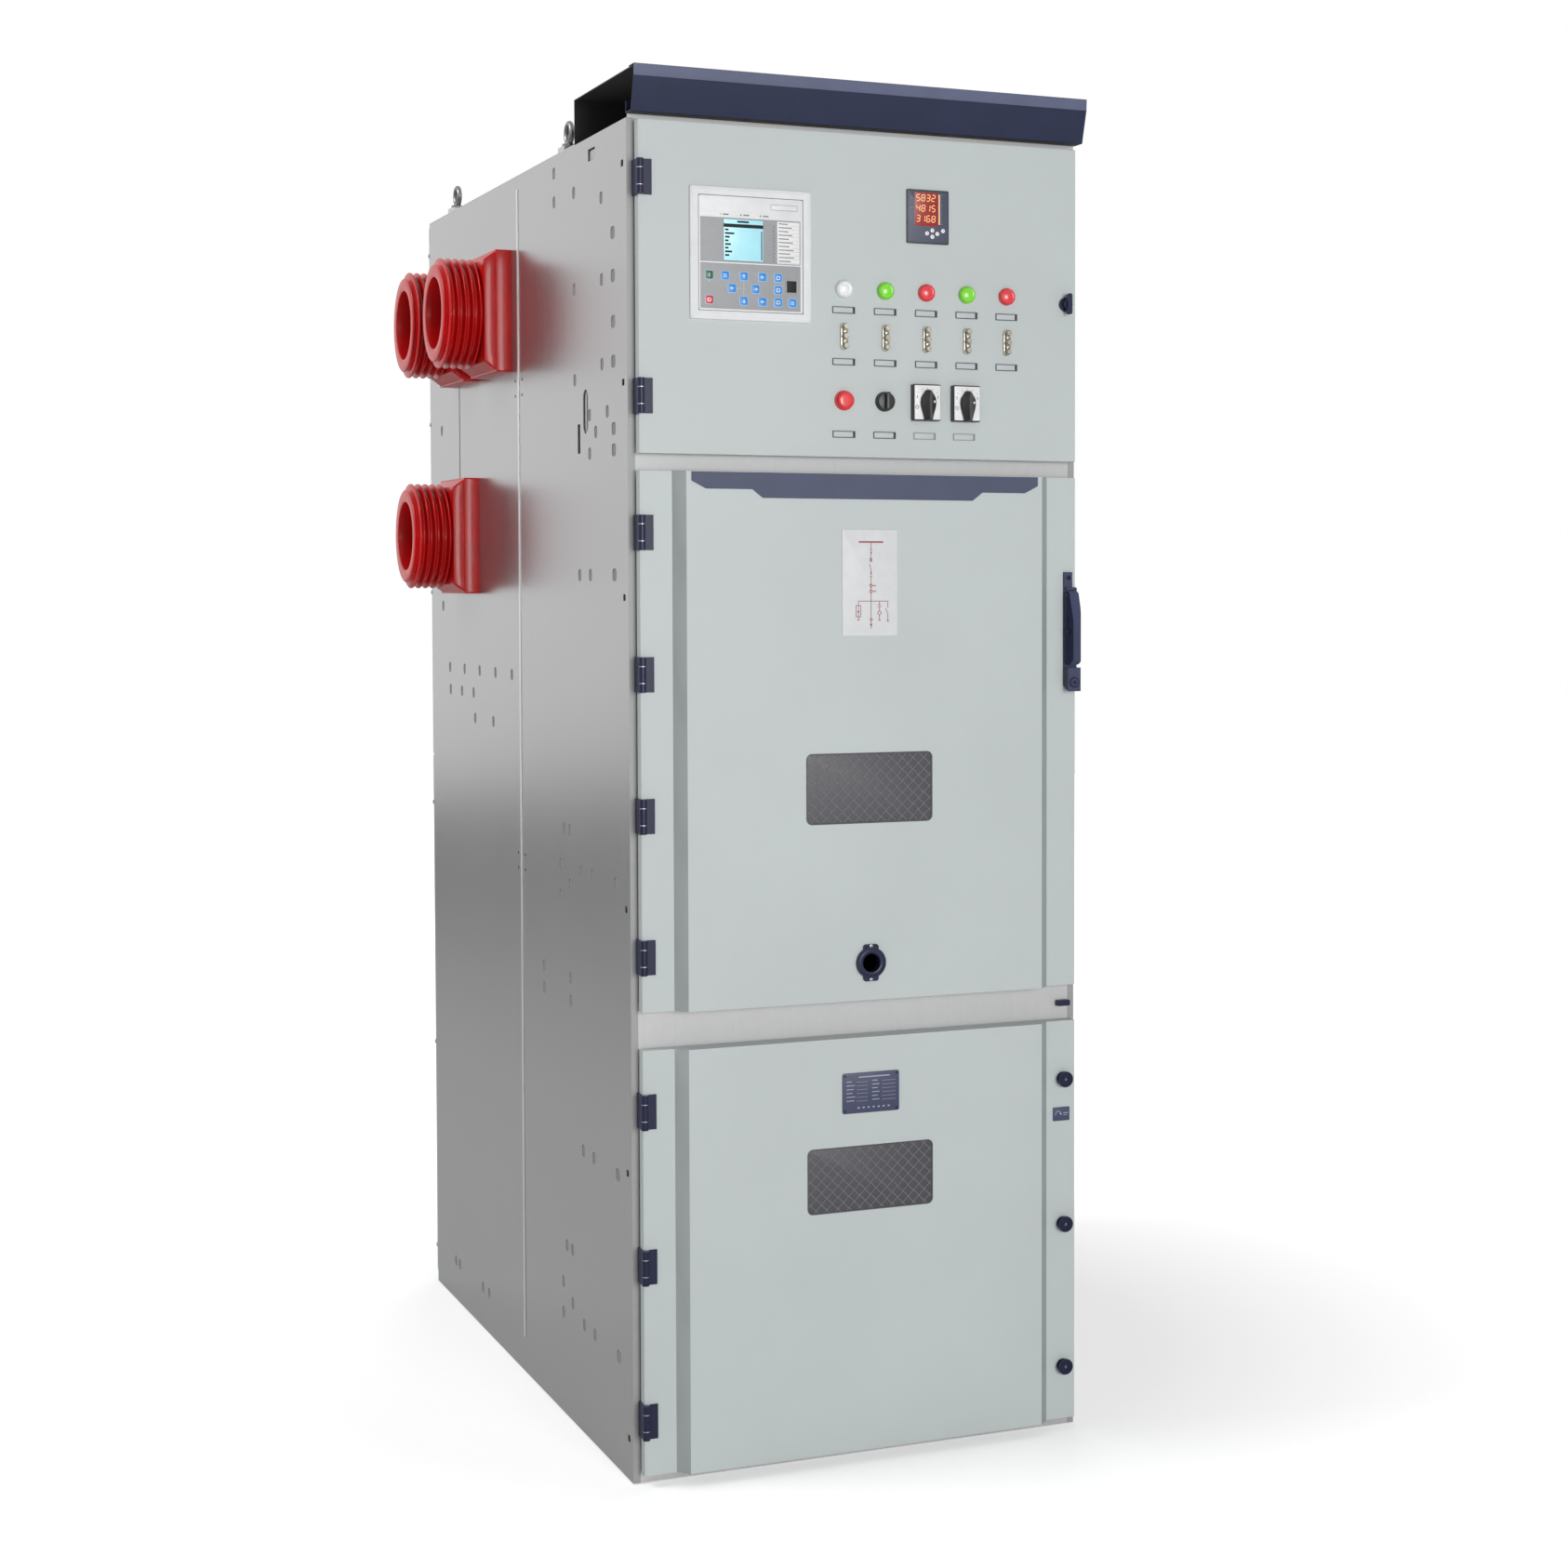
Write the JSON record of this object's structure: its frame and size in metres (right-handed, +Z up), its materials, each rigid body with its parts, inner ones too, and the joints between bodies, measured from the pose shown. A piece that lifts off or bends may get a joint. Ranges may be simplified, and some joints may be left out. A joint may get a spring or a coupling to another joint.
{
  "type": "medium voltage switchgear",
  "caption": "Metal-clad medium voltage switchgear cubicle with instrument, breaker and cable compartments behind hinged doors and ribbed wall bushings on one side",
  "frame": {"origin": "middle of the footprint of the side walls, on the floor", "axes": "+Z up, -Y out of the doors, -X out of the wall that carries the bushings"},
  "size_m": [0.9245, 1.5205, 2.304],
  "materials": {
    "galvanised": "galvanised sheet steel, satin",
    "seam": "bright bare edge",
    "door_grey": "light grey powder coat, fine texture",
    "navy": "dark blue-grey enamel, satin",
    "fascia": "dark blue-grey enamel, satin",
    "trim": "blue-grey enamel, satin",
    "duct_black": "black enamel",
    "bright": "bright zinc plating",
    "resin_red": "cast epoxy resin, glossy",
    "relay_blue": "moulded plastic, satin",
    "key_blue": "membrane keys",
    "meter_slate": "moulded plastic",
    "lamp_white": "lens",
    "lamp_green": "lens",
    "lamp_red": "lens",
    "label_white": "plain card in a holder",
    "black_plastic": "black plastic",
    "white_plastic": "white plastic",
    "red_plastic": "red plastic",
    "window": "glass in front of a wire mesh",
    "mimic": "white plate"
  },
  "bodies": {
    "cabinet": {"floor_tray": "galvanised", "corner_posts": "galvanised", "cross_rails": "galvanised", "left_wall_front": "galvanised", "left_wall_rear": "galvanised", "right_wall_front": "galvanised", "right_wall_rear": "galvanised", "seam_strips": "seam", "middle_partition": "galvanised", "compartment_floors": "galvanised", "lv_back": "galvanised", "rear_covers": "door_grey", "header_fascia": "fascia", "duct_hood": "duct_black", "roof_plate": "galvanised", "relief_flaps": "galvanised", "lifting_eyes": "bright", "bushing_front_upper": "resin_red", "bushing_rear_upper": "resin_red", "bushing_rear_lower": "resin_red", "frame_hinges": "navy", "hinge_washers": "bright", "interlock_lug": "navy"},
    "lv_door": {"lv_door_panel": "door_grey", "lv_door_hinges": "navy", "relay": "relay_blue", "relay_keys": "key_blue", "meter": "meter_slate", "lamps_white": "lamp_white", "lamps_green": "lamp_green", "lamps_red": "lamp_red", "label_holders": "label_white", "test_links": "bright", "control_bases": "black_plastic", "switch_plates": "white_plastic", "latch_base": "navy"},
    "stop_button": {"stop_button": "red_plastic"},
    "selector": {"selector_knob": "black_plastic"},
    "switch_left": {"switch_handle_left": "black_plastic"},
    "switch_right": {"switch_handle_right": "black_plastic"},
    "latch": {"latch_knob": "navy"},
    "breaker_door": {"breaker_door_panel": "door_grey", "breaker_door_hinges": "navy", "breaker_window": "window", "door_trim": "trim", "mimic_plate": "mimic", "racking_port": "navy", "handle_base": "navy"},
    "handle_hub": {"handle_hub": "bright"},
    "handle_grip": {"handle_grip": "navy"},
    "cable_door": {"cable_door_panel": "door_grey", "cable_door_hinges": "navy", "cable_window": "window", "cable_door_plates": "navy"},
    "lock_low": {"lock_knob_low": "navy"},
    "lock_middle": {"lock_knob_middle": "navy"},
    "lock_high": {"lock_knob_high": "navy"}
  },
  "joints": [
    {"name": "lv_door_swing", "type": "hinge", "parent": "cabinet", "child": "lv_door", "pos_m": [-0.387, -0.752, 1.953], "axis": [0, 0, -1], "range_deg": [0, 110]},
    {"name": "breaker_door_swing", "type": "hinge", "parent": "cabinet", "child": "breaker_door", "pos_m": [-0.387, -0.752, 1.2185], "axis": [0, 0, -1], "range_deg": [0, 110]},
    {"name": "cable_door_swing", "type": "hinge", "parent": "cabinet", "child": "cable_door", "pos_m": [-0.387, -0.752, 0.3675], "axis": [0, 0, -1], "range_deg": [0, 110]},
    {"name": "handle_turn", "type": "hinge", "parent": "breaker_door", "child": "handle_hub", "pos_m": [0.379, -0.745, 1.438], "axis": [0, 1, 0], "range_deg": [0, 90]},
    {"name": "handle_lift", "type": "hinge", "parent": "handle_hub", "child": "handle_grip", "pos_m": [0.379, -0.7585, 1.456], "axis": [-1, 0, 0], "range_deg": [0, 50]},
    {"name": "latch_turn", "type": "hinge", "parent": "lv_door", "child": "latch", "pos_m": [0.371, -0.757, 1.955], "axis": [0, 1, 0], "range_deg": [0, 90]},
    {"name": "selector_turn", "type": "hinge", "parent": "lv_door", "child": "selector", "pos_m": [0.036, -0.757, 1.7795], "axis": [0, 1, 0], "range_deg": [-45, 45]},
    {"name": "switch_left_turn", "type": "hinge", "parent": "lv_door", "child": "switch_left", "pos_m": [0.1085, -0.77, 1.7795], "axis": [0, 1, 0], "range_deg": [-45, 45]},
    {"name": "switch_right_turn", "type": "hinge", "parent": "lv_door", "child": "switch_right", "pos_m": [0.181, -0.77, 1.7795], "axis": [0, 1, 0], "range_deg": [-45, 45]},
    {"name": "stop_button_press", "type": "slide", "parent": "lv_door", "child": "stop_button", "axis": [0, 1, 0], "range_m": [0, 0.0035], "stiffness_N_per_m": 400},
    {"name": "lock_low_turn", "type": "hinge", "parent": "cable_door", "child": "lock_low", "pos_m": [0.367, -0.757, 0.112], "axis": [0, 1, 0], "range_deg": [0, 90]},
    {"name": "lock_middle_turn", "type": "hinge", "parent": "cable_door", "child": "lock_middle", "pos_m": [0.367, -0.757, 0.3625], "axis": [0, 1, 0], "range_deg": [0, 90]},
    {"name": "lock_high_turn", "type": "hinge", "parent": "cable_door", "child": "lock_high", "pos_m": [0.367, -0.757, 0.616], "axis": [0, 1, 0], "range_deg": [0, 90]}
  ],
  "couplings": [
    {"joint": "handle_lift", "follows": "handle_turn", "ratio": 0.55}
  ]
}
